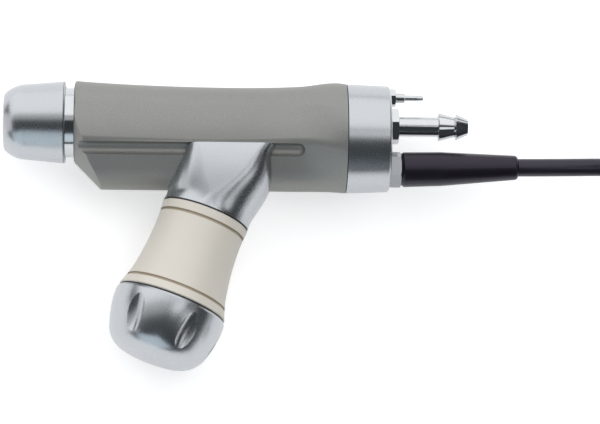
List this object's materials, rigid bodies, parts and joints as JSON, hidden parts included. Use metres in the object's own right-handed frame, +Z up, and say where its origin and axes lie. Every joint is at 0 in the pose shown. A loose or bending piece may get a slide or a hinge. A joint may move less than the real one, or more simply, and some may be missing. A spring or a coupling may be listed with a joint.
{
  "type": "surgical power drill",
  "caption": "Pistol-grip surgical drill and shaver handpiece with a quick coupling, sliding clamp-on grip, suction and irrigation connectors and a motor cable.",
  "frame": {"origin": "centre of the tool socket's mouth, on the spindle axis", "axes": "+X from the socket along the spindle axis to the rear connectors; the grip hangs towards -Y; +Z up from the table that the drill lies on"},
  "size_m": [0.2822, 0.1251, 0.0354],
  "materials": {
    "satin_steel": "satin blasted stainless steel",
    "polished_steel": "polished stainless steel",
    "housing_grey": "matt speckled warm grey",
    "grip_beige": "smooth pale beige",
    "seal_black": "matt black",
    "boot_black": "smooth dark aubergine silicone",
    "cable_jacket": "smooth dark silicone jacket",
    "copper": "enamelled copper",
    "lamination": "stacked sheet steel",
    "magnet": "sintered magnet",
    "circuit_green": "lacquered circuit board",
    "brass": "turned brass",
    "pad_plastic": "plain engineering plastic",
    "insert_black": "moulded contact insert"
  },
  "bodies": {
    "housing": {"coupling_body": "polished_steel", "sleeve_springs": "polished_steel", "front_spindle_bearing": "polished_steel", "rear_spindle_bearing": "polished_steel", "bearing_spacer": "satin_steel", "bearing_retaining_ring": "satin_steel", "ring_gear": "satin_steel", "motor_front_cover": "satin_steel", "motor_rear_cover": "satin_steel", "motor_can": "satin_steel", "rotor_front_bearing": "polished_steel", "rotor_rear_bearing": "polished_steel", "stator_core": "lamination", "front_windings": "copper", "rear_windings": "copper", "sensor_board": "circuit_green", "shaft_seal": "seal_black", "main_housing": "housing_grey", "rear_gasket": "seal_black", "rear_cap": "satin_steel", "suction_connector": "polished_steel", "suction_tube": "polished_steel", "irrigation_nut": "polished_steel", "irrigation_nipple": "polished_steel", "irrigation_line": "polished_steel", "cable_gland": "polished_steel", "strain_relief": "boot_black", "inner_lead": "cable_jacket", "cable_lead": "cable_jacket", "cable_coil": "cable_jacket", "plug_lead": "cable_jacket", "plug_strain_relief": "boot_black", "plug_shell": "satin_steel", "plug_insert": "insert_black"},
    "sleeve": {"coupling_sleeve": "satin_steel"},
    "lock_ball_a": {"lock_ball_1": "polished_steel"},
    "lock_ball_b": {"lock_ball_2": "polished_steel"},
    "lock_ball_c": {"lock_ball_3": "polished_steel"},
    "rotor": {"rotor_shaft": "polished_steel", "sun_gear": "satin_steel", "rotor_magnet": "magnet"},
    "spindle": {"drive_spindle": "satin_steel", "planet_carrier": "satin_steel", "planet_pins": "polished_steel"},
    "planet_a": {"planet_gear_1": "satin_steel"},
    "planet_b": {"planet_gear_2": "satin_steel"},
    "planet_c": {"planet_gear_3": "satin_steel"},
    "handle": {"handle_head": "satin_steel", "grip_sleeve": "grip_beige", "grip_core": "satin_steel", "upper_grip_seal": "seal_black", "lower_grip_seal": "seal_black", "knob_retaining_ring": "polished_steel"},
    "knob": {"clamp_knob": "satin_steel", "knob_nut": "brass"},
    "clamp": {"clamp_rod": "polished_steel", "clamp_pad": "pad_plastic"}
  },
  "joints": [
    {"name": "sleeve_slide", "type": "slide", "parent": "housing", "child": "sleeve", "axis": [1, 0, 0], "range_m": [0, 0.0022], "stiffness_N_per_m": 1500, "springref_m": -0.0015, "deforming": ["sleeve_springs"]},
    {"name": "lock_ball_a_lift", "type": "slide", "parent": "housing", "child": "lock_ball_a", "axis": [0, 0, 1], "range_m": [0, 0.0005]},
    {"name": "lock_ball_b_lift", "type": "slide", "parent": "housing", "child": "lock_ball_b", "axis": [0, -0.866, -0.5], "range_m": [0, 0.0005]},
    {"name": "lock_ball_c_lift", "type": "slide", "parent": "housing", "child": "lock_ball_c", "axis": [0, 0.866, -0.5], "range_m": [0, 0.0005]},
    {"name": "rotor_spin", "type": "hinge", "parent": "housing", "child": "rotor", "pos_m": [0.05, 0, 0], "axis": [1, 0, 0], "continuous": true},
    {"name": "spindle_spin", "type": "hinge", "parent": "housing", "child": "spindle", "pos_m": [0.02, 0, 0], "axis": [1, 0, 0], "continuous": true},
    {"name": "planet_a_spin", "type": "hinge", "parent": "spindle", "child": "planet_a", "pos_m": [0.0348, 0.00513, 0], "axis": [1, 0, 0], "continuous": true},
    {"name": "planet_b_spin", "type": "hinge", "parent": "spindle", "child": "planet_b", "pos_m": [0.0348, -0.00257, 0.00444], "axis": [1, 0, 0], "continuous": true},
    {"name": "planet_c_spin", "type": "hinge", "parent": "spindle", "child": "planet_c", "pos_m": [0.0348, -0.00257, -0.00444], "axis": [1, 0, 0], "continuous": true},
    {"name": "handle_slide", "type": "slide", "parent": "housing", "child": "handle", "axis": [1, 0, 0], "range_m": [-0.033, 0.0065]},
    {"name": "knob_turn", "type": "hinge", "parent": "handle", "child": "knob", "pos_m": [0.0529, -0.05798, 0], "axis": [0.342, 0.9397, 0], "range_deg": [0, 360]},
    {"name": "clamp_slide", "type": "slide", "parent": "handle", "child": "clamp", "axis": [-0.342, -0.9397, 0], "range_m": [0, 0.00081]}
  ],
  "couplings": [
    {"joint": "lock_ball_a_lift", "follows": "sleeve_slide", "ratio": 0.22},
    {"joint": "lock_ball_b_lift", "follows": "sleeve_slide", "ratio": 0.22},
    {"joint": "lock_ball_c_lift", "follows": "sleeve_slide", "ratio": 0.22},
    {"joint": "spindle_spin", "follows": "rotor_spin", "ratio": 0.27778},
    {"joint": "planet_a_spin", "follows": "rotor_spin", "ratio": -0.90278},
    {"joint": "planet_b_spin", "follows": "rotor_spin", "ratio": -0.90278},
    {"joint": "planet_c_spin", "follows": "rotor_spin", "ratio": -0.90278},
    {"joint": "clamp_slide", "follows": "knob_turn", "m_per_rad": 0.00012732}
  ]
}
